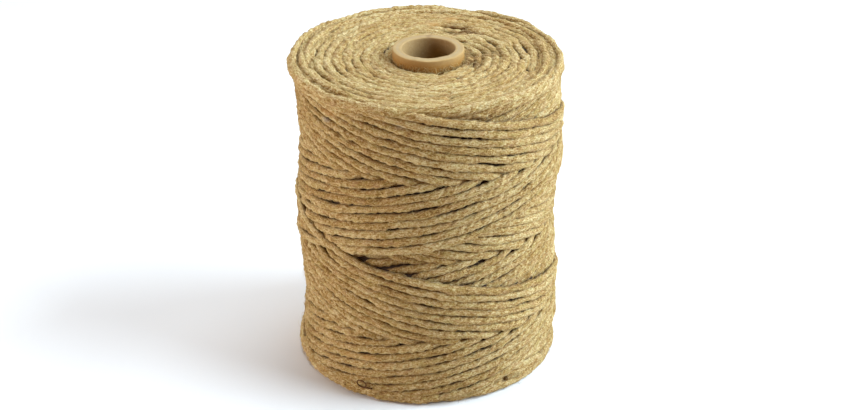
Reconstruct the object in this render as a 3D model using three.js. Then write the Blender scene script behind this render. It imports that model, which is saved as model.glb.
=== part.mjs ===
// A spool of jute twine: a cardboard core tube with the twine wound on it in crossing helical turns.
// Millimetres, +Z up, origin at the centre of the base, front towards -Y.
// Angles are in degrees, from the front (-Y) round towards +X.
import * as THREE from 'three';

// Core tube
const coreLength = 155;
const coreOuterRadius = 16.6;
const coreInnerRadius = 12.3;
const coreEdge = 0.5; // chamfer of both ends of the board
const coreClearance = 0.3; // between the tube and the first layer of twine

// Wound body
const woundHeight = 152;
const woundRadius = 63.4; // over the crest of the newest turns
const turnPitch = 4.12; // from one turn to the next beside it
const turnsPerRise = 20; // turns side by side in the height that one turn climbs
const newestRisingTurn = 83.2; // height of its lower edge at the front; it climbs towards +X
const newestFallingTurn = newestRisingTurn - 4 * turnPitch; // its upper edge; it drops towards +X
const dropPerTurn = 0.25; // each older turn lies this much deeper than the one laid after it
const turnGroove = 1.4; // depth of the groove between two turns
const turnTuck = 0.2; // the edge of the newest turn tucks in this far, so a deep groove runs beside it

// Ends of the wound body, where each turn bends round and goes back
const rimRadius = 65; // over the start of the newest bend
const newestBend = -12; // angle where it ends, the same at both ends
const bendLength = 80; // angle that each bend runs round the rim
const bendClimb = 2.7; // the start of a bend lies this far over its end, on the bends before it
const bendStep = 18; // angle from one bend to the next
const dropPerBend = 0.37; // each older bend lies this much deeper than the one laid after it
const rimDepth = 6; // height over which the wall passes into the rim
const rimRound = 1.6; // rounding of the rim
const endRings = 10; // rings of bends between the core and the rim
const topDish = 2.4; // the top sinks this much towards the core
const topGroove = 1.3;
const baseGroove = 1.2;
const baseLand = 0.56; // share of each ring's width that is pressed flat at the base

const columns = 2 * turnsPerRise;
const columnAngle = 360 / columns;
const rise = turnPitch * turnsPerRise;
const rowHeight = turnPitch / 2;
const boreRadius = coreOuterRadius + coreClearance;

const wrap = (value, period) => ((value % period) + period) % period;
const smooth = (value) => THREE.MathUtils.smoothstep(value, 0, 1);

// Turns laid on each lay since the one that crosses this place, counted in turns
function turnAges(angle, height) {
  const climb = (rise * angle) / 360;
  return {
    rising: wrap(height - newestRisingTurn - turnTuck - climb, rise) / turnPitch,
    falling: wrap(newestFallingTurn - turnTuck - climb - height, rise) / turnPitch,
  };
}

// Radius over the crests: the younger lay is the one on top, and it lies deeper the older it is
function wallRadius(angle, height) {
  const ages = turnAges(angle, height);
  return woundRadius - dropPerTurn * Math.min(ages.rising, ages.falling);
}

// Radius of the rim: the bends are laid one after another round it. It climbs over the newest one,
// then winds slowly inwards like a snail until it comes round to the newest one again.
function rimRadiusAt(angle) {
  const behind = wrap(newestBend - angle, 360);
  const climb = bendClimb * (1 - Math.min(behind / bendLength, 1));
  return rimRadius - climb - (dropPerBend * Math.max(behind - bendLength, 0)) / bendStep;
}

function bodyRadius(angle, height) {
  const fromEnd = Math.min(height, woundHeight - height);
  const rimShare = 1 - smooth((fromEnd - rimRound) / rimDepth);
  return THREE.MathUtils.lerp(wallRadius(angle, height), rimRadiusAt(angle), rimShare);
}

// Each row gives [radius, height] for a column. Crests and grooves alternate along a row of the wall,
// so both lays run through the same points, one turn every two rows.
function wallRows() {
  const firstHeight = wrap(newestRisingTurn, turnPitch) + rowHeight;
  const rows = [];
  const lowest = Math.ceil((rimRound + 1 - firstHeight) / rowHeight);
  const highest = Math.floor((woundHeight - rimRound - 1 - firstHeight) / rowHeight);
  for (let step = lowest; step <= highest; step += 1) {
    const height = firstHeight + step * rowHeight;
    rows.push((angle, column) => {
      const groove = wrap(step + column, 2) === 0 ? 0 : turnGroove;
      return [bodyRadius(angle, height) - groove, height];
    });
  }
  return rows;
}

// The underside, from the bore out to the rim: each ring of bends is pressed flat where it stands
function baseRows() {
  const rows = [() => [boreRadius, baseGroove]];
  for (let ring = 0; ring < endRings; ring += 1) {
    for (const [share, height] of [[0.5 - baseLand / 2, 0], [0.5 + baseLand / 2, 0], [1, baseGroove]]) {
      const across = (ring + share) / endRings;
      const isRim = ring === endRings - 1 && share === 1;
      rows.push((angle) => [
        THREE.MathUtils.lerp(boreRadius, rimRadiusAt(angle), across),
        isRim ? rimRound : height,
      ]);
    }
  }
  return rows;
}

// The top, from the rim in to the bore: crest and groove of each ring, sinking towards the core
function topRows() {
  const rows = [(angle) => [rimRadiusAt(angle), woundHeight - rimRound]];
  for (let half = 1; half <= 2 * endRings; half += 1) {
    const across = half / (2 * endRings);
    const sink = topDish * smooth(2 * across - 1);
    const groove = half % 2 === 1 ? 0 : topGroove;
    rows.push((angle) => [
      THREE.MathUtils.lerp(rimRadiusAt(angle), boreRadius, across),
      woundHeight - sink - groove,
    ]);
  }
  return rows;
}

// One closed surface: base, wall, top, and back down the bore to where it began
function twineGeometry() {
  const rows = [...baseRows(), ...wallRows(), ...topRows()];
  rows.push(rows[0]);
  const profile = rows.map((row) => new THREE.Vector2(...row(0, 0)));
  const geometry = new THREE.LatheGeometry(profile, columns);
  const position = geometry.getAttribute('position');
  for (let column = 0; column <= columns; column += 1) {
    const angle = (column % columns) * columnAngle;
    const turn = THREE.MathUtils.degToRad(angle);
    rows.forEach((row, index) => {
      const [radius, height] = row(angle, column);
      const vertex = column * rows.length + index;
      position.setXYZ(vertex, radius * Math.sin(turn), height, radius * Math.cos(turn));
    });
  }
  geometry.setIndex(turnFaces(position, rows.length));
  geometry.computeVertexNormals();
  return geometry.rotateX(Math.PI / 2);
}

// Two triangles for each cell, split along the lay that is on top there
function turnFaces(position, rowCount) {
  const faces = [];
  for (let column = 0; column < columns; column += 1) {
    for (let row = 0; row < rowCount - 1; row += 1) {
      const low = column * rowCount + row;
      const lowNext = low + rowCount;
      const middle = (position.getY(low) + position.getY(low + 1)) / 2;
      const ages = turnAges((column + 0.5) * columnAngle, middle);
      if (ages.rising < ages.falling) {
        faces.push(low, lowNext, lowNext + 1, low, lowNext + 1, low + 1);
      } else {
        faces.push(low, lowNext, low + 1, lowNext, lowNext + 1, low + 1);
      }
    }
  }
  return faces;
}

function coreGeometry() {
  const profile = [
    [coreInnerRadius, coreEdge],
    [coreInnerRadius + coreEdge, 0],
    [coreOuterRadius - coreEdge, 0],
    [coreOuterRadius, coreEdge],
    [coreOuterRadius, coreLength - coreEdge],
    [coreOuterRadius - coreEdge, coreLength],
    [coreInnerRadius + coreEdge, coreLength],
    [coreInnerRadius, coreLength - coreEdge],
    [coreInnerRadius, coreEdge],
  ].map(([radius, height]) => new THREE.Vector2(radius, height));
  return new THREE.LatheGeometry(profile, columns).rotateX(Math.PI / 2);
}

const cardboard = new THREE.MeshStandardMaterial({ color: 0xcdbb9c, roughness: 0.9, metalness: 0 });
const jute = new THREE.MeshStandardMaterial({ color: 0xb79a67, roughness: 0.95, metalness: 0 });

const core = new THREE.Mesh(coreGeometry(), cardboard);
core.name = 'core_tube';

const twine = new THREE.Mesh(twineGeometry(), jute);
twine.name = 'wound_twine';

const spool = new THREE.Group();
spool.add(core, twine);

export default spool;
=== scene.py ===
import math

import bpy
import numpy as np
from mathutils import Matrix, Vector


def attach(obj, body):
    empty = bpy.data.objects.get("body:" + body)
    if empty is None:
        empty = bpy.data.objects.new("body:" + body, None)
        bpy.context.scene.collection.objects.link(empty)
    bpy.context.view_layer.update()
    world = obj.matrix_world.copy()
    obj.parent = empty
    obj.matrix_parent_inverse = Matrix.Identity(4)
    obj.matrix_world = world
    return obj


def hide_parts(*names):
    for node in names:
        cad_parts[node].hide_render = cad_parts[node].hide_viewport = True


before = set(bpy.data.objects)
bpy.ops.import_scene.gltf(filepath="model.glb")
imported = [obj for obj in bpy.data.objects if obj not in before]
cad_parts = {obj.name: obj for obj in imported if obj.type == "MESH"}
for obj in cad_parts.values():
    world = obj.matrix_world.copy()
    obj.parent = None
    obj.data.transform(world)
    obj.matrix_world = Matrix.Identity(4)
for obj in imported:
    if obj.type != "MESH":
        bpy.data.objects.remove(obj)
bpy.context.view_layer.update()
millimetre = 0.001  # shapes are worked out in millimetres and put into the meshes in metres


def wrapped(value, period):
    # remainder that is never negative
    return np.mod(value, period)


def smoothStep(value):
    # 3 t squared less 2 t cubed, with t held between 0 and 1
    t = np.clip(value, 0.0, 1.0)
    return t * t * (3.0 - 2.0 * t)


def blend(first, second, share):
    # first, and a share of the way from it to second
    return first + (second - first) * share


def waves(length, shortest, longest, rng, count):
    # sum of sines with wavelengths spread evenly by ratio, scaled to a spread of about one
    sizes = np.exp(rng.uniform(math.log(shortest), math.log(longest), count))
    starts = rng.uniform(0.0, 2.0 * math.pi, count)
    total = np.sin(2.0 * math.pi * length[:, None] / sizes + starts).sum(axis=1)
    return total / math.sqrt(count / 2.0)


def wobble(length, form, rng):
    # size times the waves; form holds the size, the shortest and longest wave and how many there are
    size, shortest, longest, count = form
    return size * waves(length, shortest, longest, rng, count)


def blurred(values, radius):
    # weighted mean of the neighbours, with a raised cosine as the weight
    weights = 1.0 + np.cos(math.pi * np.arange(-radius, radius + 1) / (radius + 1))
    return np.convolve(np.pad(values, radius, mode="edge"), weights / weights.sum(), mode="valid")


def unit(vectors):
    # each vector divided by its length
    return vectors / np.linalg.norm(vectors, axis=-1, keepdims=True)


def onSpool(angle, radius, height):
    # cylinder coordinates to x, y, z
    turn = np.radians(angle)
    return np.stack([radius * np.sin(turn), -radius * np.cos(turn), height], axis=-1)


# Angles are in degrees, from the front (-Y) round towards +X, as in the wound solid. A stray is given by
# its size, its shortest and longest wave and how many waves there are.
winding = {
    "height": 152.0,
    "crestRadius": 63.9,       # over the newest turns
    "turnPitch": 4.12,         # from one turn to the next beside it
    "turnsPerRise": 20,        # turns side by side in the height that one turn climbs
    "risingEdge": 83.2,        # lower edge of the newest rising turn, at the front
    "edgeGap": 4,              # the newest falling turn starts this many turns lower
    "dropPerTurn": 0.25,       # each older turn lies this much deeper
    "layerThickness": 3.1,     # of one layer of turns under another
    "cycles": 34,              # up and down again, from the oldest bends that show to the newest
    "turnsPerCycle": 4,
    "cycleShift": 18.0,        # angle that a cycle takes beyond its whole turns
    "stepAngle": 1.07,         # between two sections of the twine
    "crossing": 0.6,           # a turn goes under another over this share of its width, each way
    "evened": 6,               # sections, each way, over which the path is evened out
    "wander": (0.26, 28.0, 130.0, 30),  # how far a turn strays from its even lay
    "stray": (0.1, 9.0, 26.0, 30),      # and over a centimetre or two
    "sway": (0.1, 18.0, 90.0, 24),      # and how far in and out
    "pieces": ((0, 13), (14, 19), (20, 25), (26, 29), (30, 33)),  # first and last cycle of each
    "seed": 11,
}
rim = {
    "radius": 65.8,            # over the start of the newest bend
    "newestBend": -12.0,       # angle where it ends
    "bendLength": 80.0,
    "bendStep": 18.0,
    "dropPerBend": 0.28,
    "bendClimb": 2.7,          # the start of the newest bend lies this far over its end
    "buriedClimb": 2.2,        # and that of a bend with others on it, this much more
    "buriedBy": 3.0,           # bends that it takes to press one down
    "lead": 9.0,               # angle over which a turn levels out before its bend
    "depth": 4.5,              # height over which the wall passes into the rim
    "round": 2.6,
    "peaks": (-0.9, 1.0, 2.5), # bends stop this far short of the end, in turn; below 0 is past it
    "pastTop": 0.9,            # no bend goes further past the top than this
    "uneven": (0.3, 120.0, 500.0, 14),
    "softness": 1.1,           # how gently a turn levels out into its bend
}
shownPart = {                  # the rest of the path is buried and isn't made
    "turns": 20.0,             # newest turns of each lay
    "under": 1.1,              # these may lie this many turns under the other lay
    "beside": 0.8,             # or deeper, this near its newest turn
    "newBends": 14,            # the newest bends are made further from the end than the others
    "newReach": 9.0,
    "oldReach": 6.4,
    "onTop": -0.3,             # a turn this far over the other lay carries loose fibres
}
rise = winding["turnPitch"] * winding["turnsPerRise"]
climbPerDegree = rise / 360.0
fallingEdge = winding["risingEdge"] - winding["edgeGap"] * winding["turnPitch"]


def turnAges(angle, height):
    # turns of each lay between the newest one and this place
    climb = climbPerDegree * angle
    rising = wrapped(height - winding["risingEdge"] - climb, rise)
    falling = wrapped(fallingEdge - climb - height, rise)
    return rising / winding["turnPitch"], falling / winding["turnPitch"]


def rimShare(height):
    # 1 at the rim, falling to 0 over the rim's depth
    fromEnd = np.minimum(height, winding["height"] - height)
    return 1.0 - smoothStep((fromEnd - rim["round"]) / rim["depth"])


def bendRadius(behind, phase, age):
    # over a bend: r = radius - bendClimb (1 - behind / length), then less a bend's drop every step, and
    # less the climb that is lost under newer bends, from its start (phase 0) to its end (phase 1)
    climb = rim["bendClimb"] * (1.0 - np.clip(behind / rim["bendLength"], 0.0, 1.0))
    drop = rim["dropPerBend"] * np.maximum(behind - rim["bendLength"], 0.0) / rim["bendStep"]
    pressed = rim["buriedClimb"] * phase * np.clip(age / rim["buriedBy"], 0.0, 1.0)
    return rim["radius"] - climb - drop - pressed


def windTwine():
    # All of the twine that can show, as one path. Height is a zigzag of the angle with flat bends, held
    # inside the ends by a soft minimum and maximum. Radius is the crest radius less the turn's age, or
    # less the age of the turn that covers it and one layer, and near an end the radius of its bend.
    rng = np.random.default_rng(winding["seed"])
    pitch, height, count = winding["turnPitch"], winding["height"], winding["cycles"]
    traverse = height / climbPerDegree
    topBend = wrapped((winding["risingEdge"] + fallingEdge + rise - 2.0 * height) / climbPerDegree, 360.0)
    topStart, topEnd, lowStart = traverse, traverse + topBend, 2.0 * traverse + topBend
    wholeTurns = 360.0 * winding["turnsPerCycle"]
    cycleTurn, lead = wholeTurns + winding["cycleShift"], rim["lead"]
    turned = np.arange(0.0, count * cycleTurn, winding["stepAngle"])
    along = wrapped(turned, cycleTurn)
    age = count - 1 - np.floor(turned / cycleTurn)
    lowShift = cycleTurn / 2.0
    lowAlong = wrapped(turned - lowShift, cycleTurn)
    lowAge = count - 2 - np.floor((turned - lowShift) / cycleTurn)
    firstAngle = (rise - winding["risingEdge"] - 0.5 * pitch) / climbPerDegree
    angle = firstAngle - winding["cycleShift"] * (count - 1) + turned
    slope = math.hypot(1.0, climbPerDegree / math.radians(winding["crestRadius"]))
    length = np.radians(turned) * winding["crestRadius"] * slope

    zigzag = np.interp(along, [0, topStart, topEnd, lowStart, cycleTurn], [0, height, height, 0, 0])
    zigzag = zigzag + wobble(length, winding["wander"], rng)
    peaks, soft = np.array(rim["peaks"]), rim["softness"]
    uneven = wobble(length, rim["uneven"], rng)
    short = np.maximum(peaks[(age % len(peaks)).astype(int)] + uneven, -rim["pastTop"])
    high = height - twine["radius"] - short
    low = twine["radius"] + np.maximum(peaks[(lowAge % len(peaks)).astype(int)] + uneven, 0.0)
    level = high - soft * np.logaddexp(0.0, (high - zigzag) / soft)
    level = low + soft * np.logaddexp(0.0, (level - low) / soft)
    level = blurred(level, winding["evened"]) + wobble(length, winding["stray"], rng)

    rising = along < (topStart + topEnd) / 2.0
    falling = (along < (lowStart + cycleTurn) / 2.0) & ~rising
    risingAge, fallingAge = turnAges(angle, level)
    ownAge = np.where(falling, age, np.where(rising, age, age - 1)) + 0.5
    otherAge = np.where(falling, risingAge, fallingAge)
    depth = np.where(falling, ownAge - 0.5, ownAge + 0.5) - otherAge
    under = smoothStep((depth + winding["crossing"]) / (2.0 * winding["crossing"]))
    drop = winding["dropPerTurn"]
    crest = blend(drop * ownAge, drop * otherAge + winding["layerThickness"], under)
    wall = winding["crestRadius"] - crest

    topPhase = np.interp(along, [topStart - lead, topEnd + lead], [0.0, 1.0])
    lowPhase = np.interp(lowAlong, [lowStart - lead - lowShift, cycleTurn + lead - lowShift], [0.0, 1.0])
    atTop = level > height / 2.0
    bendAge = np.where(atTop, age, lowAge)
    phase = np.where(atTop, topPhase, lowPhase)
    firstBehind = rim["newestBend"] - (firstAngle + topStart - wholeTurns / 2.0)
    behind = firstBehind + rim["bendStep"] * bendAge - topBend * phase
    edge = bendRadius(behind, phase, bendAge)
    radius = blend(wall, edge, rimShare(level)) - twine["radius"]
    radius = blurred(radius, winding["evened"]) + wobble(length, winding["sway"], rng)

    fromEnd = np.minimum(level, height - level)
    onWall = (depth < shownPart["under"]) | (otherAge < shownPart["beside"])
    onWall = onWall & (ownAge < shownPart["turns"])
    reach = np.where(bendAge < shownPart["newBends"], shownPart["newReach"], shownPart["oldReach"])
    return {"centre": onSpool(angle, radius, level), "length": length, "age": age, "level": level,
            "shown": onWall | (fromEnd < reach), "above": depth < shownPart["onTop"]}


twine = {
    "radius": 2.02,
    "plies": 3,
    "plyRadius": 1.46,         # of each ply; the rest is its distance from the middle
    "lay": 13.0,               # length in which a ply goes once round
    "layDrift": (0.12, 60.0, 260.0, 14),
    "sides": 12,
    "rough": 0.028,            # share by which each point strays from the round
    "slub": (0.07, 16.0, 140.0, 22),    # by which the thickness changes along it
    "lump": (0.03, 5.0, 15.0, 30),      # and over a few millimetres
    "plySize": (0.05, 12.0, 60.0, 14),  # and that of each ply
    "tone": (0.6, 40.0, 420.0, 24),     # lighter and darker stretches
    "plyTone": (0.45, 9.0, 70.0, 20),   # and those of each ply
    "plyApart": 500.0,         # length between the stretches that two plies are given
    "flatten": 0.09,           # pressed this much flatter against the turns below
    "widen": 0.6,              # and wider by this share of that
    "paintedShadeFrom": 0.5,         # painted shade where the surface faces outwards less than this
    "paintedShadeOver": 0.75,
    "seed": 5,
}
looseTwine = {**twine, "radius": 2.2, "plyRadius": 1.5, "flatten": 0.2}  # at the ends it is less taut


def plyOutline(form):
    # radius of three touching circles round a common middle, at evenly spaced angles from a crest
    across = np.arange(form["sides"]) / form["sides"]
    plies, ply = form["plies"], form["plyRadius"]
    fromCrest = (wrapped(across * plies + 0.5, 1.0) - 0.5) * 2.0 * math.pi / plies
    middle = form["radius"] - ply
    reach = middle * np.cos(fromCrest) + np.sqrt(ply ** 2 - (middle * np.sin(fromCrest)) ** 2)
    return across, reach


def twistedSections(path, outward, broken, rng, form, isWall=False):
    # A section of three plies carried along the path. It turns backwards round the path once every lay
    # (the plies climb to the right on a level turn), and it is pressed a little flat along outward.
    centre, length, plies = path["centre"], path["length"], range(form["plies"])
    tangent = np.gradient(centre, axis=0)
    first, last = broken, broken + 1  # the path isn't joined between these
    tangent[first] = centre[first] - centre[first - 1]
    tangent[last] = centre[last + 1] - centre[last]
    tangent = unit(tangent)
    outward = unit(outward - tangent * (outward * tangent).sum(axis=1, keepdims=True))
    side = np.cross(tangent, outward)
    across, reach = plyOutline(form)
    lay = length / form["lay"] + wobble(length, form["layDrift"], rng)
    turn = 2.0 * math.pi * (across[None, :] - lay[:, None])
    thickness = 1.0 + wobble(length, form["slub"], rng) + wobble(length, form["lump"], rng)
    plyNumber = (wrapped(across * form["plies"] + 0.5, form["plies"])).astype(int)
    plyTone = [wobble(length + form["plyApart"] * ply, form["plyTone"], rng) for ply in plies]
    plySize = [1.0 + wobble(length, form["plySize"], rng) for ply in plies]
    rough = rng.normal(0.0, 1.0, (len(length), form["sides"]))
    rough = 1.0 + form["rough"] * (rough + np.roll(rough, 1, axis=0))
    reach = reach[None, :] * thickness[:, None] * np.stack(plySize, axis=1)[:, plyNumber] * rough
    press = form["flatten"]
    offset = (outward[:, None] * (np.cos(turn) * reach * (1.0 - press))[..., None]
              + side[:, None] * (np.sin(turn) * reach * (1.0 + form["widen"] * press))[..., None])
    tone = wobble(length, form["tone"], rng)[:, None] + np.stack(plyTone, axis=1)[:, plyNumber]
    facing = np.cos(turn)
    if isWall:  # at a rim, what faces up or down is kept out of the painted shade too
        upright = outward[:, None, 2] * np.cos(turn) + side[:, None, 2] * np.sin(turn)
        isUpper = centre[:, 2:] > winding["height"] / 2.0
        facing = np.maximum(facing, rimShare(centre[:, 2:]) * upright * np.where(isUpper, 1.0, -1.0))
    fibre = np.stack(np.broadcast_arrays(length[:, None], form["radius"] * np.cos(turn),
                                         form["radius"] * np.sin(turn)), axis=-1)
    # the surface that faces in between the turns is given painted shade
    return {"points": centre[:, None] + offset, "tone": tone, "fibre": fibre, "facing": facing,
            "hidden": smoothStep((form["paintedShadeFrom"] - facing) / form["paintedShadeOver"]),
            "outward": outward, "tangent": tangent}


endFace = {
    "outerRadius": 59.5,       # middle of the outermost bend, inside the rim's own bends
    "innerRadius": 19.0,
    "bore": 16.9,
    "coreRadius": 16.8,        # a bend stays outside this
    "topStart": -60.0,         # angle where the first bend starts
    "baseStart": 100.0,
    "bendStep": 33.0,          # each bend starts this angle before the one laid after it
    "startSpread": 9.0,        # give or take this much
    "dropPerBend": 0.385,      # and lies this much further in
    "innermost": 13,           # bends more, beside the core
    "span": 74.0,              # angle that a bend runs along the face
    "spanShare": (0.75, 1.3),
    "sweep": 2.4,              # it starts this much further out than it ends
    "tilt": 0.5,               # and this much higher
    "topDish": 1.3,            # the top sinks this much towards the core
    "dive": 19.0,              # angle over which its ends go down into the body
    "diveDepth": 3.6,
    "wander": (0.3, 22.0, 80.0, 14),
    "sag": (0.2, 25.0, 90.0, 14),
    "topStep": 1.35,           # between two sections
    "baseStep": 3.2,
    "moreSteps": 8,            # sections of a bend beyond those
    "lengthApart": 37.0,       # between the twist and stretches of two bends
    "openWidth": 2.5,          # over which a loose place pushes bends apart
    "seed": 23,
}
slack = (  # loose places in the top, where bends have opened and sunk; dark is painted shade in the gaps between them
    {"x": 9.5, "y": 34.5, "reach": 4.4, "open": 1.7, "sink": 1.1, "dark": 4.0},
    {"x": 15.0, "y": 32.8, "reach": 4.4, "open": 1.9, "sink": 1.4, "dark": 5.0},
    {"x": 21.0, "y": 29.5, "reach": 4.0, "open": 1.4, "sink": 1.0, "dark": 3.6},
    {"x": 20.0, "y": 6.0, "reach": 5.5, "open": 0.9, "sink": 0.7, "dark": 2.2},
    {"x": 19.0, "y": -6.0, "reach": 4.6, "open": 0.9, "sink": 0.8, "dark": 3.0},
    {"x": 29.0, "y": 5.0, "reach": 4.0, "open": 0.5, "sink": 0.4, "dark": 2.1},
)


def slackShare(points, place):
    # 1 in the middle of a loose place, falling off as exp(-(distance / reach)^2)
    away = points[..., :2] - np.array([place["x"], place["y"]])
    return np.exp(-(away ** 2).sum(axis=-1) / place["reach"] ** 2)


def endArcs(isTop):
    # The bends of an end inside its rim, from the outermost inwards. Bend m starts at angle a - m step
    # and radius r - m drop; along it the radius falls by sweep and the height by tilt, as the bends laid
    # after it lie on its far end, and both its ends dive into the body.
    rng = np.random.default_rng(endFace["seed"] + (0 if isTop else 1))
    ringDepth = endFace["outerRadius"] - endFace["innerRadius"]
    firstStart = endFace["topStart"] if isTop else endFace["baseStart"]
    stepLength = endFace["topStep"] if isTop else endFace["baseStep"]
    dive, spread = endFace["dive"], endFace["startSpread"]
    parts = {"centre": [], "length": [], "arc": []}
    for number in range(int(ringDepth / endFace["dropPerBend"]) + endFace["innermost"]):
        start = firstStart - endFace["bendStep"] * number + rng.uniform(-spread, spread)
        span = endFace["span"] * rng.uniform(*endFace["spanShare"])
        middle = max(endFace["outerRadius"] - endFace["dropPerBend"] * number, endFace["innerRadius"])
        steps = int(math.radians(span) * middle / stepLength) + endFace["moreSteps"]
        angle = np.linspace(start, start + span, steps)
        length = np.radians(angle - start) * middle + endFace["lengthApart"] * number
        phase = (angle - start) / span
        goesIn = 1.0 - smoothStep((angle - start) / dive)
        comesOut = 1.0 - smoothStep((start + span - angle) / dive)
        radius = middle + endFace["sweep"] * (0.5 - phase) + wobble(length, endFace["wander"], rng)
        across = (rim["radius"] - middle) / (rim["radius"] - endFace["bore"])
        sink = endFace["topDish"] * smoothStep(2.0 * across - 1.0) if isTop else 0.0
        sink = sink + endFace["tilt"] * phase + np.abs(wobble(length, endFace["sag"], rng))
        sink = sink + endFace["diveDepth"] * np.maximum(goesIn, comesOut)
        level = winding["height"] - twine["radius"] - sink
        if not isTop:
            level = winding["height"] - level
        radius = np.maximum(radius, endFace["coreRadius"] + twine["radius"])
        parts["centre"].append(onSpool(angle, radius, level))
        parts["length"].append(length)
        parts["arc"].append(np.full(steps, number))
    path = {key: np.concatenate(values) for key, values in parts.items()}
    for place in slack if isTop else ():
        near = slackShare(path["centre"], place)
        outward = np.linalg.norm(path["centre"][:, :2], axis=1)
        fromPlace = outward - math.hypot(place["x"], place["y"])
        push = place["open"] * near * np.tanh(fromPlace / endFace["openWidth"])
        path["centre"][:, :2] += path["centre"][:, :2] / outward[:, None] * push[:, None]
        path["centre"][:, 2] -= place["sink"] * near
    return path


def tubeFaces(rowFlags, sides):
    # quads between each two kept rows that follow one another, and a cap where a run starts or ends
    rows = np.flatnonzero(rowFlags[:-1] & rowFlags[1:])
    column = np.arange(sides)
    after = (column + 1) % sides
    low, high = rows[:, None] * sides, (rows[:, None] + 1) * sides
    quads = np.stack([low + column, low + after, high + after, high + column], axis=-1).reshape(-1, 4)
    isStart = np.zeros(len(rowFlags), bool)
    isEnd = np.zeros(len(rowFlags), bool)
    isStart[rows] = True
    isEnd[rows + 1] = True
    starts = np.flatnonzero(isStart & ~isEnd)
    ends = np.flatnonzero(isEnd & ~isStart)
    caps = np.concatenate([starts[:, None] * sides + column[::-1], ends[:, None] * sides + column])
    return quads, caps


def gridFaces(down, across):
    # quads of a grid closed both ways, facing outwards when its rows run round the axis and its columns
    # follow a profile that runs up outside
    row, column = np.arange(down)[:, None], np.arange(across)[None, :]
    nextRow, nextColumn = (row + 1) % down, (column + 1) % across
    corners = [row * across + column, nextRow * across + column,
               nextRow * across + nextColumn, row * across + nextColumn]
    return np.stack(np.broadcast_arrays(*corners), axis=-1).reshape(-1, 4)


def meshFrom(name, points, faceSets, attributes=None, smooth=True):
    # one mesh from arrays: points in millimetres, sets of faces with equal numbers of corners
    points = np.asarray(points, dtype=np.float64).reshape(-1, 3)
    used = np.zeros(len(points), bool)
    for faces in faceSets:
        used[faces.ravel()] = True
    place = np.cumsum(used) - 1
    corners = np.concatenate([place[faces].ravel() for faces in faceSets])
    sizes = np.concatenate([np.full(len(faces), faces.shape[1]) for faces in faceSets])
    starts = np.concatenate([[0], np.cumsum(sizes)[:-1]])
    mesh = bpy.data.meshes.new(name)
    mesh.vertices.add(int(used.sum()))
    mesh.vertices.foreach_set("co", (points[used] * millimetre).astype(np.float32).ravel())
    mesh.loops.add(len(corners))
    mesh.loops.foreach_set("vertex_index", corners.astype(np.int32))
    mesh.polygons.add(len(sizes))
    mesh.polygons.foreach_set("loop_start", starts.astype(np.int32))
    mesh.update(calc_edges=True)
    mesh.polygons.foreach_set("use_smooth", np.full(len(sizes), smooth))
    for key, values in (attributes or {}).items():
        values = np.asarray(values, dtype=np.float32).reshape(len(points), -1)[used]
        kind = "FLOAT_VECTOR" if values.shape[1] == 3 else "FLOAT"
        layer = mesh.attributes.new(key, kind, "POINT")
        layer.data.foreach_set("vector" if kind == "FLOAT_VECTOR" else "value", values.ravel())
    mesh.validate()
    piece = bpy.data.objects.new(name, mesh)
    bpy.context.scene.collection.objects.link(piece)
    return piece


def finishPiece(piece, material, node):
    # gives a piece its material and its body, and hides the solid that it stands for
    piece.data.materials.append(material)
    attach(piece, "root")
    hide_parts(node)
    print(piece.name, "made,", len(piece.data.polygons), "faces")


class Value:
    # a node's output socket that can be used in sums

    def __init__(self, nodes, socket):
        self.nodes = nodes
        self.socket = socket

    def maths(self, operation, first, second):
        return self.nodes.make("ShaderNodeMath", {"operation": operation}, {0: first, 1: second})

    def __add__(self, other):
        return self.maths("ADD", self, other)

    def __radd__(self, other):
        return self.maths("ADD", other, self)

    def __sub__(self, other):
        return self.maths("SUBTRACT", self, other)

    def __rsub__(self, other):
        return self.maths("SUBTRACT", other, self)

    def __mul__(self, other):
        return self.maths("MULTIPLY", self, other)

    def __rmul__(self, other):
        return self.maths("MULTIPLY", other, self)

    def __pow__(self, other):
        return self.maths("POWER", self, other)

    def __rpow__(self, other):
        return self.maths("POWER", other, self)


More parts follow.
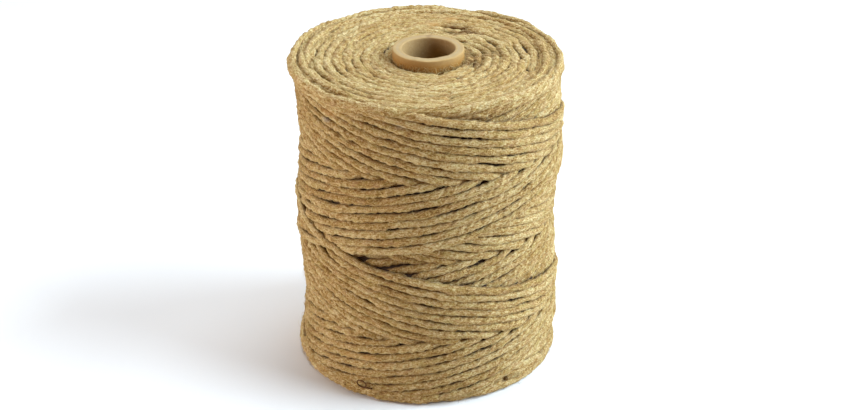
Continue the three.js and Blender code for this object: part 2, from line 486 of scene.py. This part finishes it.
class MaterialNodes:
    # a material's node tree, emptied, with one method that makes every node

    def __init__(self, name):
        self.material = bpy.data.materials.new(name)
        self.material.use_nodes = True
        self.tree = self.material.node_tree
        self.tree.nodes.clear()

    def make(self, kind, settings=None, sockets=None, output=0):
        node = self.tree.nodes.new(kind)
        for key, value in (settings or {}).items():
            if key == "stops":
                self.setStops(node.color_ramp, value)
            else:
                setattr(node, key, value)
        for key, value in (sockets or {}).items():
            if isinstance(value, Value):
                self.tree.links.new(value.socket, node.inputs[key])
            else:
                node.inputs[key].default_value = value
        return Value(self, node.outputs[output]) if len(node.outputs) else node

    def setStops(self, ramp, stops):
        while len(ramp.elements) < len(stops):
            ramp.elements.new(0.5)
        for element, (place, colour) in zip(ramp.elements, stops):
            element.position = place
            element.color = (*colour, 1.0)

    def attribute(self, name, output=2):
        # output 2 is a number, and output 1 a vector
        return self.make("ShaderNodeAttribute", {"attribute_name": name}, {}, output)

    def objectPlace(self):
        return self.make("ShaderNodeTexCoord", {}, {}, 3)

    def axes(self, vector):
        node = self.make("ShaderNodeSeparateXYZ", {}, {"Vector": vector}).socket.node
        return [Value(self, socket) for socket in node.outputs]

    def mixColour(self, share, first, second):
        settings = {"data_type": "RGBA", "clamp_factor": True}
        colours = [value if isinstance(value, Value) else (*value, 1.0) for value in (first, second)]
        return self.make("ShaderNodeMix", settings, {0: share, 6: colours[0], 7: colours[1]}, 2)

    def ramp(self, value, stops):
        return self.make("ShaderNodeValToRGB", {"stops": stops}, {"Fac": value})

    def noise(self, vector, scale, detail, roughness):
        sockets = {"Vector": vector, "Scale": scale, "Detail": detail, "Roughness": roughness}
        return self.make("ShaderNodeTexNoise", {}, sockets)

    def grain(self, vector, form):
        # noise stretched along the fibre: form holds its fineness each way, its detail and roughness
        fineness, detail, roughness = form
        stretched = self.make("ShaderNodeMapping", {}, {"Vector": vector, "Scale": fineness})
        return self.noise(stretched, 1.0, detail, roughness)

    def step(self, value, low, high):
        # smooth step from 0 at low to 1 at high
        settings = {"interpolation_type": "SMOOTHSTEP"}
        return self.make("ShaderNodeMapRange", settings, {0: value, 1: low, 2: high, 3: 0.0, 4: 1.0})

    def bump(self, height, strength, distance):
        sockets = {"Strength": strength, "Distance": distance, "Height": height}
        return self.make("ShaderNodeBump", {}, sockets)

    def finish(self, sockets):
        shader = self.make("ShaderNodeBsdfPrincipled", {}, sockets)
        self.make("ShaderNodeOutputMaterial", {}, {"Surface": shader})
        return self.material


juteLook = {
    "shadow": (0.135, 0.057, 0.01),  # between fibres and on the darkest plies
    "body": (0.335, 0.189, 0.052),
    "straw": (0.56, 0.436, 0.21),
    "pink": (0.42, 0.25, 0.12),      # some stretches are warmer
    "olive": (0.36, 0.275, 0.085),   # and some greener
    "deep": (0.08, 0.029, 0.004),    # painted shade down between two turns
    "rust": (0.38, 0.19, 0.05),      # patches of bark left on the fibre
    "grey": (0.36, 0.37, 0.32),
    "ramp": ((0.12, "shadow"), (0.46, "body"), (0.82, "straw")),
    "strands": ((0.4, 2.2, 2.2), 4.0, 0.65),  # fineness along and across the fibre, detail, roughness
    "specks": ((1.1, 1.3, 1.3), 4.0, 0.7),
    "hairs": ((0.9, 5.5, 5.5), 3.0, 0.7),
    "clumps": ((0.12, 0.4, 0.4), 2.0, 0.5),
    "cast": ((0.17, 0.6, 0.6), 3.0, 0.6),
    "bark": ((0.13, 0.8, 0.8), 3.0, 0.7),
    "castShare": 0.35,
    "barkShare": 0.4,
    "toneShare": 0.075,
    "clumpShare": 0.25,
    "roughness": 0.9,
    "sheen": (1.0, 0.86, 0.52, 1.0),
}


def juteMaterial(name, depth, contrast):
    # Colour is a ramp of the twine's tone and the grain of its fibres, which run along it, with warm,
    # green, rust and grey stretches; painted shade, as strong as depth, darkens it towards the turns below.
    nodes = MaterialNodes(name)
    fibre = nodes.attribute("fibre", 1)
    tone, stain, hidden = (nodes.attribute(key) for key in ("tone", "stain", "hidden"))
    grains = ("strands", "specks", "hairs", "clumps", "cast", "bark")
    strands, specks, hairs, clumps, cast, bark = (nodes.grain(fibre, juteLook[key]) for key in grains)
    detail = (strands - 0.5) * 1.5 + (specks - 0.5) * 1.7 + (hairs - 0.5) * 0.8
    lightness = 0.5 + juteLook["toneShare"] * tone + detail * contrast
    lightness = lightness + (clumps - 0.5) * juteLook["clumpShare"]
    colour = nodes.ramp(lightness, [(place, juteLook[key]) for place, key in juteLook["ramp"]])
    for value, key in ((cast, "pink"), (1.0 - cast, "olive")):
        castShare = nodes.step(value, 0.5, 0.68) * juteLook["castShare"]
        colour = nodes.mixColour(castShare, colour, juteLook[key])
    colour = nodes.mixColour(nodes.step(bark, 0.66, 0.76) * juteLook["barkShare"], colour, juteLook["rust"])
    rustShare = nodes.step(stain, 0.25, 0.95) * (0.35 + strands * 0.7)
    colour = nodes.mixColour(rustShare, colour, juteLook["rust"])
    colour = nodes.mixColour(nodes.step(0.0 - stain, 0.25, 0.95) * 0.6, colour, juteLook["grey"])
    # painted shade between the turns, as strong as depth
    colour = nodes.mixColour(hidden * depth, colour, juteLook["deep"])
    bump = nodes.bump(strands * 0.5 + specks * 0.5 + hairs * 0.2, 0.9, 0.0006)
    return nodes.finish({"Base Color": colour, "Roughness": juteLook["roughness"], "Normal": bump,
                         "Specular IOR Level": 0.05, "Sheen Weight": 0.15, "Sheen Roughness": 0.5,
                         "Sheen Tint": juteLook["sheen"]})


stains = (  # angle, height, reach round the spool and up it in millimetres, and strength; grey is below 0
    (-45.2, 142.8, 7.0, 2.2, 0.75), (-2.8, 145.2, 5.0, 1.8, 0.6), (-27.5, 22.2, 7.0, 2.6, 0.75),
    (-38.0, 19.2, 6.0, 2.2, 0.75), (-10.8, 143.8, 5.0, 2.0, -0.6), (-47.2, 138.2, 4.0, 1.8, -0.7),
    (-3.0, 118.0, 5.0, 2.0, -0.55), (8.0, 147.0, 13.0, 3.0, 0.6), (178.0, 150.0, 6.0, 2.5, 0.7),
)
topStains = (  # patches of bark on the top
    {"x": 10.6, "y": 46.0, "reach": 4.5, "strength": 0.9},
    {"x": 2.3, "y": 39.9, "reach": 4.0, "strength": 0.8},
    {"x": 37.3, "y": 35.0, "reach": 4.0, "strength": 0.8},
    {"x": 14.0, "y": 31.0, "reach": 9.0, "strength": 0.6},
    {"x": 23.0, "y": 0.0, "reach": 10.0, "strength": 0.65},
)
space = {"floorGap": 0.02, "overTop": 0.6, "coreRadius": 16.75}  # that the twine stays in


def stainOf(points):
    # sum of soft spots on the wall, at their angles and heights
    angle = np.degrees(np.arctan2(points[..., 0], -points[..., 1]))
    total = np.zeros(points.shape[:-1])
    for place, height, wide, high, strength in stains:
        aside = np.radians(angle - place) * winding["crestRadius"] / wide
        total += strength * np.exp(-aside ** 2 - ((points[..., 2] - height) / high) ** 2)
    return total


def holdInside(points):
    # twine is pressed flat where it stands, and stays under the top and outside the core
    points[..., 2] = np.clip(points[..., 2], space["floorGap"], winding["height"] + space["overTop"])
    outward = np.hypot(points[..., 0], points[..., 1])
    grow = np.maximum(outward, space["coreRadius"]) / np.maximum(outward, 1e-6)
    points[..., 0] *= grow
    points[..., 1] *= grow
    return points


def makeTurns(path, sections, material):
    # the wall and rims: the path's shown sections joined to tubes, in pieces of some cycles each
    sections["points"] = holdInside(sections["points"])
    attributes = {key: sections[key] for key in ("tone", "fibre", "hidden")}
    attributes["stain"] = stainOf(sections["points"])
    cycle = winding["cycles"] - 1 - path["age"]
    for number, (firstCycle, lastCycle) in enumerate(winding["pieces"], 1):
        inGroup = path["shown"] & (cycle >= firstCycle) & (cycle <= lastCycle)
        faceSets = tubeFaces(inGroup, twine["sides"])
        piece = meshFrom(f"woundTurns{number}", sections["points"], faceSets, attributes)
        finishPiece(piece, material, "wound_twine")


def makeEndBends(name, path, sections, material):
    # one tube for each bend, with its own two caps
    sections["points"] = holdInside(sections["points"])
    rows, sides = len(path["arc"]), twine["sides"]
    quads = tubeFaces(np.ones(rows, bool), sides)[0]
    breaks = np.flatnonzero(np.diff(path["arc"]))
    quads = quads[~np.isin(quads[:, 0] // sides, breaks)]
    starts = np.concatenate([[0], breaks + 1])[:, None] * sides + np.arange(sides)[::-1]
    ends = np.concatenate([breaks, [rows - 1]])[:, None] * sides + np.arange(sides)
    attributes = {key: sections[key] for key in ("tone", "fibre", "hidden")}
    attributes["stain"] = np.zeros(sections["tone"].shape)
    if name == "topBends":
        shaded = np.clip(0.5 - 0.6 * sections["tone"], 0.0, 1.2)  # the painted shade is stronger on darker plies
        # painted shade of the loose places, added to the bends' painted shade
        for place in slack:
            dark = place["dark"] * slackShare(sections["points"], place)
            attributes["hidden"] = attributes["hidden"] + dark * shaded
        for place in topStains:
            attributes["stain"] += place["strength"] * slackShare(sections["points"], place)
    piece = meshFrom(name, sections["points"], [quads, np.concatenate([starts, ends])], attributes)
    finishPiece(piece, material, "wound_twine")


inner = {
    "wall": 59.6,              # radius, under the outer turns
    "bore": 17.0,
    "top": 149.6,
    "base": 2.6,
    "edge": 3.0,               # width of the slope between wall and ends
    "dish": 1.3,
    "swell": 0.9,              # of each turn
    "pit": 3.0,                # depth of the loose places
    "pitFrom": 140.0,          # height above which they reach
    "around": 60.0,            # length of a radian of the wall, for the grain
    "columns": 96,
    "wallRows": 60,
    "faceRows": 16,
    "boreRows": 10,
    # the buried jute's colours are painted far darker than the outer jute, as painted shade
    "dark": (0.02, 0.008, 0.002),
    "light": (0.085, 0.042, 0.013),
    "grain": ((0.5, 1.6, 1.6), 4.0, 0.6),
}


def makeInnerTwine(material):
    # The body under the outer turns: a closed profile of radius and height carried round the core. Its
    # radius sinks with the age of the younger lay and swells over each turn: r + s |sin(pi age)|.
    wall, bore, edge, top, base = (inner[key] for key in ("wall", "bore", "edge", "top", "base"))
    wallRows, faceRows, boreRows = inner["wallRows"], inner["faceRows"], inner["boreRows"]
    across = np.linspace(bore, wall - edge, faceRows)
    dish = inner["dish"] * smoothStep(2.0 * (wall - across) / (wall - bore) - 1.0)
    radius = np.concatenate([across, np.full(wallRows, wall), across[::-1], np.full(boreRows, bore)])
    level = np.concatenate([np.full(faceRows, base), np.linspace(base + edge, top - edge, wallRows),
                            (top - dish)[::-1], np.linspace(top - inner["dish"], base, boreRows + 2)[1:-1]])
    isWall = np.zeros(len(radius))
    isWall[faceRows:faceRows + wallRows] = 1.0
    angle = np.arange(inner["columns"]) * 360.0 / inner["columns"]
    angleGrid, levelGrid = np.meshgrid(angle, level, indexing="ij")
    age = np.minimum(*turnAges(angleGrid, levelGrid))
    swell = inner["swell"] * np.abs(np.sin(math.pi * age)) - winding["dropPerTurn"] * age
    radiusGrid = radius[None, :] + isWall[None, :] * swell
    points = onSpool(angleGrid, radiusGrid, levelGrid)
    for place in slack:
        points[..., 2] -= inner["pit"] * slackShare(points, place) * (levelGrid > inner["pitFrom"])
    fibre = np.stack([np.radians(angleGrid) * inner["around"], radiusGrid, levelGrid], axis=-1)
    piece = meshFrom("innerTwine", points, [gridFaces(*angleGrid.shape)], {"fibre": fibre})
    finishPiece(piece, material, "wound_twine")


def innerMaterial():
    # jute painted dark as the shade in the gaps that show it, lighter where its grain stands up
    nodes = MaterialNodes("innerJuteInPaintedShade")
    strands = nodes.grain(nodes.attribute("fibre", 1), inner["grain"])
    colour = nodes.ramp(strands, [(0.3, inner["dark"]), (0.7, inner["light"])])
    bump = nodes.bump(strands, 0.8, 0.001)
    return nodes.finish({"Base Color": colour, "Roughness": 0.95, "Normal": bump})


core = {
    "length": 155.0,
    "outer": 16.6,
    "bore": 12.3,
    "edge": 0.55,              # rounding of the cut ends
    "rough": 0.1,              # unevenness of the top end
    "roughWaves": (1.0, 3.0, 40.0, 20),
    "roughMean": 0.8,
    "roughRadius": 14.5,       # at which the waves are measured
    "roughFrom": 150.0,        # height from which it grows
    "seamPitch": 62.0,         # height that the paper's spiral seam climbs in one turn
    "seamDepth": 0.18,
    "seamWidth": 0.9,
    "seamInside": 14.0,        # the seam is slight inside this radius, in the bore
    "lowPart": 8.0,            # rows are close together up to this height
    "topPart": 12.0,           # and over this length at the top, which shows
    "columns": 120,
    "seed": 4,
}


def makeCore(material):
    # The tube: a closed profile up the outside and down the bore, carried round. A seam of both walls
    # sinks by d exp(-(x / w)^2), with x the height from the spiral; the top end is a little uneven.
    rng = np.random.default_rng(core["seed"])
    outer, bore, edge, length = core["outer"], core["bore"], core["edge"], core["length"]
    bend = np.radians(np.linspace(0.0, 90.0, 4))
    up, over, down = np.sin(bend[1:]), np.cos(bend[1:]), bend[::-1][:-1]
    topPart = length - core["topPart"]
    sides = np.concatenate([np.linspace(edge, core["lowPart"], 8)[:-1],
                            np.linspace(core["lowPart"], topPart, 24)[:-1],
                            np.linspace(topPart, length - edge, 16)])
    ends = np.linspace(bore + edge, outer - edge, 7)[1:-1]
    count, faces = len(sides), len(ends)
    radius = np.concatenate([np.full(count, outer), outer - edge + edge * over, ends[::-1],
                             bore + edge - edge * np.cos(down), np.full(count, bore),
                             bore + edge - edge * over, ends, outer - edge + edge * np.cos(down)])
    top = length - edge
    level = np.concatenate([sides, top + edge * up, np.full(faces, length), top + edge * np.sin(down),
                            sides[::-1], edge - edge * up, np.zeros(faces), edge - edge * np.sin(down)])
    # the zone is 2 on the outer wall, 1 on a cut end and 0 in the bore
    zone = np.concatenate([np.full(count, 2.0), [1.6, 1.2, 1.0], np.ones(faces), [1.0, 0.8, 0.4],
                           np.zeros(count), [0.4, 0.8, 1.0], np.ones(faces), [1.0, 1.2, 1.6]])
    angle = np.arange(core["columns"]) * 360.0 / core["columns"]
    angleGrid, levelGrid = np.meshgrid(angle, level, indexing="ij")
    radiusGrid = np.broadcast_to(radius, angleGrid.shape)
    pitch, halfPitch = core["seamPitch"], core["seamPitch"] / 2.0
    fromSeam = wrapped(levelGrid - pitch * angleGrid / 360.0 + halfPitch, pitch) - halfPitch
    seam = np.exp(-(fromSeam / core["seamWidth"]) ** 2)
    sinks = core["seamDepth"] * np.where(radiusGrid < core["seamInside"], 0.1, -1.0)
    radiusGrid = radiusGrid + seam * sinks
    circle = np.radians(angle) * core["roughRadius"]
    uneven = core["rough"] * (np.abs(wobble(circle, core["roughWaves"], rng)) - core["roughMean"])
    roughShare = np.maximum(levelGrid - core["roughFrom"], 0.0) / (length - core["roughFrom"])
    levelGrid = np.maximum(levelGrid + uneven[:, None] * roughShare, 0.0)
    attributes = {"zone": np.broadcast_to(zone, angleGrid.shape),
                  "seam": seam * np.where(zone > 0.5, 1.0, 0.15)}
    points = onSpool(angleGrid, radiusGrid, levelGrid)
    piece = meshFrom("coreTube", points, [gridFaces(*angleGrid.shape)], attributes)
    finishPiece(piece, material, "core_tube")


coreLook = {  # pairs are the darker and the lighter cloud
    "paper": ((0.32, 0.195, 0.072), (0.43, 0.275, 0.108)),  # the cut end
    "sheetLine": (0.18, 0.135, 0.065),                      # between two of its sheets
    "middleSheet": (0.3, 0.235, 0.145),
    "kraft": ((0.275, 0.158, 0.053), (0.39, 0.243, 0.09)),  # the bore
    "kraftPulp": (0.46, 0.33, 0.17),
    "wall": ((0.24, 0.098, 0.012), (0.4, 0.185, 0.028)),
    "wallTop": (0.40, 0.26, 0.10),                          # paler near the cut end
    "wallPulp": (0.4, 0.25, 0.075),
    "seam": (0.16, 0.08, 0.03),
    "pulp": (900.0, 4.0, 0.7),                              # fineness in a metre, detail, roughness
    "cloud": (130.0, 3.0, 0.6),
    "sheets": 9500.0,                                       # radians of the sheets' wave in a metre
    "middleRadius": 0.0142,
    "paleFrom": 0.1505,
    "paleTo": 0.1545,
}


def coreMaterial():
    # Three papers by zone, each a mix of two colours by a cloud: the cut end has lines where the sine of
    # the radius is high, and the wall is paler towards its top.
    nodes = MaterialNodes("boardTube")
    place, zone, seam = nodes.objectPlace(), nodes.attribute("zone"), nodes.attribute("seam")
    east, north, up = nodes.axes(place)
    fromAxis = (east * east + north * north) ** 0.5
    pulp = nodes.noise(place, *coreLook["pulp"])
    cloud = nodes.noise(place, *coreLook["cloud"])
    paper, kraft, wall = (nodes.mixColour(cloud, *coreLook[key]) for key in ("paper", "kraft", "wall"))
    sheet = nodes.make("ShaderNodeMath", {"operation": "SINE"}, {0: fromAxis * coreLook["sheets"]})
    paper = nodes.mixColour(nodes.step(sheet + pulp, 0.9, 1.7) * 0.35, paper, coreLook["sheetLine"])
    fromMiddle = fromAxis - coreLook["middleRadius"]
    fromMiddle = nodes.make("ShaderNodeMath", {"operation": "ABSOLUTE"}, {0: fromMiddle})
    nearMiddle = 1.0 - nodes.step(fromMiddle, 0.0003, 0.0009)
    paper = nodes.mixColour(nearMiddle * 0.3, paper, coreLook["middleSheet"])
    kraft = nodes.mixColour(nodes.step(pulp, 0.5, 0.75) * 0.4, kraft, coreLook["kraftPulp"])
    towardsTop = nodes.step(up, coreLook["paleFrom"], coreLook["paleTo"])
    wall = nodes.mixColour(towardsTop * 0.6, wall, coreLook["wallTop"])
    wall = nodes.mixColour(nodes.step(pulp, 0.45, 0.7) * 0.45, wall, coreLook["wallPulp"])
    colour = nodes.mixColour(nodes.step(zone, 0.1, 0.75), kraft, paper)
    colour = nodes.mixColour(nodes.step(zone, 1.02, 1.55), colour, wall)
    colour = nodes.mixColour(seam * 0.5, colour, coreLook["seam"])
    return nodes.finish({"Base Color": colour, "Roughness": 0.85, "Specular IOR Level": 0.25,
                         "Normal": nodes.bump(pulp + cloud, 0.5, 0.0003)})


hair = {
    "radius": (0.04, 0.085),
    "taper": 0.6,
    "arch": (0.55, 1.0),       # share of a half wave that a fibre's lift runs through
    "rootDepth": 0.1,
    "rimFrom": 147.0,          # above this height all turns carry fibres
    "overRim": 0.8,            # share by which fibres that stand over the rim are lowered
    "floorGap": 0.05,
}
fuzz = {  # how many, how long, how far they lift off, and how they lean and bend, in radians
    "wallFuzz": {"count": 8200, "length": (1.2, 3.6), "lift": (0.1, 0.6), "lean": 1.1, "bend": 1.2,
                 "points": 3},
    "wallFibres": {"count": 1500, "length": (4.0, 10.0), "lift": (0.2, 1.2), "lean": 1.0, "bend": 3.6,
                   "points": 7},
    "topFuzz": {"count": 3400, "length": (1.2, 3.6), "lift": (0.1, 0.7), "lean": 1.1, "bend": 1.2,
                "points": 3},
    "topFibres": {"count": 500, "length": (4.0, 11.0), "lift": (0.2, 1.3), "lean": 1.0, "bend": 3.6,
                  "points": 7},
}
coreFuzz = {
    "count": 620,
    "length": (1.2, 4.6),
    "points": 5,
    "root": 147.9,             # height of the roots
    "gap": 0.15,               # from the tube
    "spread": 1.6,             # a root lies up to this much further out
    "sway": 9.0,               # in degrees
    "arch": (1.0, 2.6),        # in radians
    "tone": -0.4,
}


def tubesAlong(paths, radii, up):
    # triangular tubes along many short paths at once, closed at both ends: three points at even angles
    # round each point of a path, across its tangent
    tangent = unit(np.gradient(paths, axis=1))
    side = unit(np.cross(tangent, up[:, None]))
    top = np.cross(side, tangent)
    turn = 2.0 * math.pi * np.arange(3) / 3.0
    ring = side[:, :, None] * np.cos(turn)[:, None] + top[:, :, None] * np.sin(turn)[:, None]
    points = paths[:, :, None] + ring * radii[:, :, None, None]
    count, steps = paths.shape[:2]
    low = ((np.arange(count) * steps)[:, None, None] + np.arange(steps - 1)[None, :, None]) * 3
    corner = np.arange(3)[None, None, :]
    after = (corner + 1) % 3
    quads = np.stack([low + corner, low + after, low + 3 + after, low + 3 + corner], axis=-1)
    start = (np.arange(count) * steps)[:, None] * 3
    caps = np.concatenate([start + np.array([2, 1, 0]), start + 3 * (steps - 1) + np.array([0, 1, 2])])
    return points, [quads.reshape(-1, 4), caps]


def makeHair(name, sections, rows, isWall, material, rng):
    # Loose fibres: from a point of the twine, steps of equal length whose heading turns evenly by bend
    # from a random lean, kept at the height of their root with a lift of l sin(pi u) off the twine
    form = fuzz[name]
    count, steps = form["count"], form["points"] - 1
    row = rng.choice(rows, count)
    column = np.argmax(sections["facing"][row] + rng.uniform(-0.5, 0.5, (count, twine["sides"])), axis=1)
    root = sections["points"][row, column]
    run = sections["tangent"][row] * rng.choice([-1.0, 1.0], count)[:, None]
    up = sections["outward"][row]
    side = np.cross(run, up)
    share = np.linspace(0.0, 1.0, steps + 1)
    lean = rng.normal(0.0, form["lean"], (count, 1))
    bend = rng.normal(0.0, form["bend"], (count, 1))
    heading = lean + bend * (share[None, 1:] - 0.5 / steps)
    size = rng.uniform(*form["length"], (count, 1)) / steps
    along = np.pad(np.cumsum(np.cos(heading) * size, axis=1), ((0, 0), (1, 0)))
    across = np.pad(np.cumsum(np.sin(heading) * size, axis=1), ((0, 0), (1, 0)))
    paths = root[:, None] + run[:, None] * along[..., None] + side[:, None] * across[..., None]
    lift = rng.uniform(*form["lift"], (count, 1))
    lift = lift * np.sin(math.pi * share * rng.uniform(*hair["arch"], (count, 1))) - hair["rootDepth"]
    if isWall:
        outward = np.hypot(paths[..., 0], paths[..., 1])
        grow = (np.hypot(root[:, 0], root[:, 1])[:, None] + lift) / outward
        paths[..., :2] *= grow[..., None]
        paths[..., 2] -= hair["overRim"] * np.maximum(paths[..., 2] - winding["height"], 0.0)
    else:
        paths[..., 2] = root[:, None, 2] + lift * np.sign(up[:, None, 2])
    radii = rng.uniform(*hair["radius"], (count, 1)) * (1.0 - hair["taper"] * share)
    points, faceSets = tubesAlong(paths, radii, up)
    points[..., 2] = np.maximum(points[..., 2], hair["floorGap"])
    shade = np.broadcast_to(rng.normal(0.0, 1.0, count)[:, None, None], points.shape[:3])
    finishPiece(meshFrom(name, points, faceSets, {"tone": shade}), material, "wound_twine")


def makeCoreHair(material, rng):
    # Fibres that stand round the core: from (r, z) beside it up its wall by h sin(a u), with a sway of
    # the angle
    count, share = coreFuzz["count"], np.linspace(0.0, 1.0, coreFuzz["points"])
    angle = rng.uniform(-180.0, 180.0, count)[:, None]
    angle = angle + rng.normal(0.0, coreFuzz["sway"], count)[:, None] * share
    height = rng.uniform(*coreFuzz["length"], count)[:, None]
    height = height * np.sin(share * rng.uniform(*coreFuzz["arch"], (count, 1)))
    away = rng.uniform(0.0, coreFuzz["spread"], count)[:, None] * (1.0 - share) ** 2
    paths = onSpool(angle, core["outer"] + coreFuzz["gap"] + away, coreFuzz["root"] + height)
    radii = rng.uniform(*hair["radius"], count)[:, None] * (1.0 - hair["taper"] * share)
    points, faceSets = tubesAlong(paths, radii, paths[:, 0] * np.array([1.0, 1.0, 0.0]))
    shade = np.broadcast_to(rng.normal(coreFuzz["tone"], 1.0, count)[:, None, None], points.shape[:3])
    finishPiece(meshFrom("coreFibres", points, faceSets, {"tone": shade}), material, "wound_twine")


curl = {
    "angle": -29.2,
    "height": 8.0,             # of its middle
    "out": 64.4,               # radius at which it stands
    "wide": 2.4,               # half its width and half its height
    "high": 1.85,
    "thickness": 0.34,
    "tailsFrom": (-0.55, 0.7), # radians before and after the full ring
    "tailRun": (1.6, 3.2),     # length of the tails for a radian, as a share of wide
    "tailDip": 0.9,            # they go this far in
    "tailDrop": (2.0, 1.5),    # and reach that after 1 / this, in radians
    "tone": -2.6,
    "points": 48,
}


def makeCurl(material):
    # One dark fibre that stands off in a ring low on the front: x = wide sin t, z = high (1 - cos t),
    # with tails that run off along the turns and dip to them
    before, beyond = curl["tailsFrom"]
    t = np.linspace(before, 2.0 * math.pi + beyond, curl["points"])
    after = t - 2.0 * math.pi
    firstTail, lastTail = t * curl["tailRun"][0], after * curl["tailRun"][1]
    around = curl["wide"] * np.where(t < 0.0, firstTail, np.where(after > 0.0, lastTail, np.sin(t)))
    up = curl["high"] * np.where((t < 0.0) | (after > 0.0), 0.0, 1.0 - np.cos(t))
    angle = curl["angle"] + np.degrees(around / curl["out"])
    dip = np.maximum(-curl["tailDrop"][0] * t, curl["tailDrop"][1] * after)
    out = curl["out"] - curl["tailDip"] * np.clip(dip, 0.0, 1.0)
    paths = onSpool(angle, out, curl["height"] - curl["high"] + up)[None]
    radii = np.full((1, curl["points"]), curl["thickness"])
    outward = onSpool(np.array([curl["angle"]]), np.array([1.0]), np.array([0.0]))
    points, faceSets = tubesAlong(paths, radii, outward)
    shade = np.full(points.shape[:3], curl["tone"])
    finishPiece(meshFrom("looseCurl", points, faceSets, {"tone": shade}), material, "wound_twine")


hairLook = {"dark": (0.09, 0.035, 0.012), "middle": (0.42, 0.27, 0.09), "pale": (0.68, 0.54, 0.25)}


def hairMaterial():
    # a ramp of each fibre's tone and a fine noise
    nodes = MaterialNodes("looseFibres")
    tone = nodes.attribute("tone")
    lightness = 0.5 + 0.2 * tone + (nodes.noise(nodes.objectPlace(), 600.0, 2.0, 0.6) - 0.5) * 0.4
    stops = [(0.0, hairLook["dark"]), (0.35, hairLook["middle"]), (0.9, hairLook["pale"])]
    colour = nodes.ramp(lightness, stops)
    return nodes.finish({"Base Color": colour, "Roughness": 0.8, "Specular IOR Level": 0.1})


# the second number is the strength of the painted shade between turns, the third the grain's contrast
juteFinish = juteMaterial("jute", 0.88, 1.0)
endFinish = juteMaterial("juteEnds", 0.4, 0.75)
hairFinish = hairMaterial()
print("materials of the twine made")
rng = np.random.default_rng(twine["seed"])
wallPath = windTwine()
print("twine wound,", len(wallPath["length"]), "sections,", round(wallPath["length"][-1] / 1000.0, 1), "m")
wallSections = twistedSections(wallPath, wallPath["centre"] * np.array([1.0, 1.0, 0.0]),
                               np.array([], dtype=int), rng, twine, True)
makeTurns(wallPath, wallSections, juteFinish)
for isTop in (True, False):
    bends = endArcs(isTop)
    upward = np.zeros_like(bends["centre"])
    upward[:, 2] = 1.0 if isTop else -1.0
    sections = twistedSections(bends, upward, np.flatnonzero(np.diff(bends["arc"])), rng, looseTwine)
    makeEndBends("topBends" if isTop else "baseBends", bends, sections, endFinish)
    if isTop:
        for name in ("topFuzz", "topFibres"):
            makeHair(name, sections, np.arange(len(bends["arc"])), False, hairFinish, rng)
onTop = wallPath["above"] | (wallPath["level"] > hair["rimFrom"])
for name in ("wallFuzz", "wallFibres"):
    makeHair(name, wallSections, np.flatnonzero(wallPath["shown"] & onTop), True, hairFinish, rng)
makeCurl(hairFinish)
makeCoreHair(hairFinish, rng)
makeInnerTwine(innerMaterial())
makeCore(coreMaterial())


def turnTo(holder, place, target):
    # stands an object at a place, its -Z towards the target
    holder.location = place
    holder.rotation_euler = (Vector(target) - Vector(place)).to_track_quat("-Z", "Y").to_euler()
    bpy.context.scene.collection.objects.link(holder)


camera = {"aside": -0.0006, "away": 0.6628, "height": 0.4245, "aim": 0.0734, "lens": 65.5}


def setCamera():
    # in front of the spool and over it, aimed a little under its middle; metres, and the lens in mm
    lens = bpy.data.cameras.new("camera")
    lens.lens = camera["lens"]
    lens.sensor_width = 36.0
    lens.clip_start = 0.01
    holder = bpy.data.objects.new("camera", lens)
    place = (camera["aside"], -camera["away"], camera["height"])
    turnTo(holder, place, (camera["aside"], 0.0, camera["aim"]))
    bpy.context.scene.camera = holder


studio = {
    "lights": (  # name, place, size, power and colour of each soft light
        ("rightLight", (1.0, -0.12, 0.72), 1.0, 31.0, (0.9, 1.12, 1.4)),
        ("leftLight", (-1.0, -0.2, 0.25), 0.7, 11.8, (1.0, 0.99, 1.08)),
        ("topLight", (0.05, 0.35, 1.1), 0.8, 11.2, (0.87, 1.0, 1.18)),
        ("frontLight", (-0.1, -1.3, 0.45), 0.8, 1.6, (1.0, 0.36, 0.06)),
    ),
    "aim": (0.0, 0.0, 0.07),
    "sky": 0.012,
}


def setLights():
    # round soft lights that face the spool, in a dim white surround
    for name, place, size, power, colour in studio["lights"]:
        light = bpy.data.lights.new(name, "AREA")
        light.shape = "DISK"
        light.size = size
        light.energy = power
        light.color = colour
        turnTo(bpy.data.objects.new(name, light), place, studio["aim"])
    world = bpy.data.worlds.new("studio")
    world.use_nodes = True
    sky = world.node_tree.nodes["Background"]
    sky.inputs[0].default_value = (1.0, 1.0, 1.0, 1.0)
    sky.inputs[1].default_value = studio["sky"]
    bpy.context.scene.world = world
    bpy.context.scene.view_settings.view_transform = "Standard"


ground = {"reach": 3000.0, "colour": (0.79, 0.745, 0.665, 1.0), "roughness": 0.9}


def setFloor():
    # one square under the spool, reaching as far each way
    settings = {"Base Color": ground["colour"], "Roughness": ground["roughness"]}
    material = MaterialNodes("paleFloor").finish(settings)
    size = ground["reach"]
    corners = np.array([[-size, -size, 0], [size, -size, 0], [size, size, 0], [-size, size, 0]], float)
    floor = meshFrom("floor", corners, [np.array([[0, 1, 2, 3]])], smooth=False)
    floor.data.materials.append(material)


setCamera()
setLights()
setFloor()
print("camera, lights and floor set")
